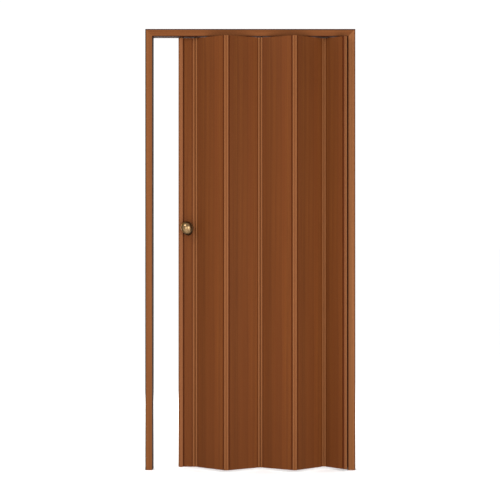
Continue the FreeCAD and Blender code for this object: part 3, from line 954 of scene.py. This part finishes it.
@dataclass(frozen=True)
class Lamp:
    """Square soft light.

    Attributes:
        name: Name of the light.
        place: Where it hangs.
        aim: Point that it faces.
        width: Side of its square.
        watts: Its power.
    """

    name: str
    place: Vector
    aim: Vector
    width: float
    watts: float

    def hang(self) -> None:
        """Put the light in the scene."""
        light = bpy.data.lights.new(self.name, "AREA")
        light.size = self.width
        light.energy = self.watts
        lamp = bpy.data.objects.new(self.name, light)
        lamp.location = self.place
        lamp.rotation_euler = (self.aim - self.place).to_track_quat("-Z", "Y").to_euler()
        bpy.context.scene.collection.objects.link(lamp)


# Upper left: throws the head's soft shade on the leaf and lights the egg's upper left.
SIDE_LAMP = Lamp("side_light", Vector((-1.9, -2.0, 1.0)), Vector((0.0, -0.05, -0.9)), 0.8, 42.0)
# Right: keeps the wall-side jamb as light as the other one.
FILL_LAMP = Lamp("fill_light", Vector((1.7, -2.6, -1.0)), Vector((0.6, 0.0, -1.15)), 1.8, 57.0)
# Front: the main soft light, a little left of the middle and low, so the foot isn't dull.
FRONT_LAMP = Lamp("front_light", Vector((-0.8, -2.7, -1.3)), Vector((-0.1, 0.0, -1.15)), 2.0, 39.0)
# Back: lights the side that the photograph doesn't show.
BACK_LAMP = Lamp("back_light", Vector((-1.5, 2.8, -0.7)), Vector((0.0, 0.0, -1.0)), 1.8, 75.0)


@dataclass
class Studio:
    """Pale floor, soft light and the photograph's camera.

    Attributes:
        away: Distance of the camera from the frame's front plane.
        front: Y of the frame's front plane.
        eye: Height of the camera above the floor.
        aside: X of the camera.
        sensor: Width of the camera's sensor in millimetres, as Blender counts it.
        focal_pixels: Focal length in pixels of the photograph.
        pixels: Width and height of the photograph.
        horizon: Row of the photograph at the camera's height.
        sight: How far the camera sees.
        sky: Strength of the even light from all round.
        floor_height: Z of the floor, at the foot of the jambs.
        floor_size: Side of the floor's square.
        floor_colour: Colour of the floor.
    """

    away: float = 7.2
    front: float = -0.03
    eye: float = 1.1586
    aside: float = -0.0015
    sensor: float = 36.0
    focal_pixels: float = 1512.7
    pixels: float = 500.0
    horizon: float = 226.75
    sight: float = 200.0
    sky: float = 1.05
    floor_height: float = -2.1
    floor_size: float = 160.0
    floor_colour: str = "FBFBFB"

    def build(self) -> None:
        """Build the floor, the lights and the camera."""
        self._floor()
        self._world()
        for lamp in (SIDE_LAMP, FILL_LAMP, FRONT_LAMP, BACK_LAMP):
            lamp.hang()
        self._camera()

    def _floor(self) -> None:
        """Lay a plain pale floor."""
        form = bmesh.new()
        bmesh.ops.create_grid(form, x_segments=1, y_segments=1, size=self.floor_size / 2)
        bmesh.ops.translate(form, vec=(0.0, 0.0, self.floor_height), verts=form.verts)
        mesh = bpy.data.meshes.new("floor")
        form.to_mesh(mesh)
        form.free()
        floor = bpy.data.objects.new("floor", mesh)
        bpy.context.scene.collection.objects.link(floor)
        # Matt white floor paint, chalky and without gloss, so that it mirrors nothing.
        material, tree = new_material("floor_paint")
        shader = add_node(tree, "BsdfPrincipled", {
            "Base Color": linear(self.floor_colour), "Roughness": 0.9, "Specular IOR Level": 0.0,
        }).outputs[0]
        add_node(tree, "OutputMaterial", links={"Surface": shader})
        put_on(floor, material)

    def _world(self) -> None:
        """Light the scene evenly from all round."""
        world = bpy.data.worlds.new("studio")
        world.use_nodes = True
        tree = world.node_tree
        tree.nodes.clear()
        sky = add_node(tree, "Background", {
            "Color": linear("FFFFFF"), "Strength": self.sky,
        }).outputs[0]
        add_node(tree, "OutputWorld", links={"Surface": sky})
        bpy.context.scene.world = world

    def _camera(self) -> None:
        """Set the camera level, at the photograph's place."""
        view = bpy.data.cameras.new("view")
        view.sensor_width = self.sensor
        view.lens = self.focal_pixels / self.pixels * self.sensor
        view.shift_y = (self.horizon - self.pixels / 2) / self.pixels
        view.clip_end = self.sight
        camera = bpy.data.objects.new("view", view)
        camera.location = (self.aside, self.front - self.away, self.floor_height + self.eye)
        camera.rotation_euler = Euler((math.pi / 2, 0.0, 0.0))
        bpy.context.scene.collection.objects.link(camera)
        bpy.context.scene.camera = camera


def main() -> None:
    """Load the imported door, dress it and set the studio round it."""
    logging.basicConfig(level=logging.INFO, format="%(name)s %(message)s")
    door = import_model()
    nodes = door["nodes"]
    DoorFrame().dress(nodes)
    Leaf().dress(nodes)
    TrackGear().dress(nodes)
    KnobSet().build(nodes)
    Studio().build()
    bpy.context.scene.view_settings.view_transform = "Standard"


if __name__ == "__main__":
    main()
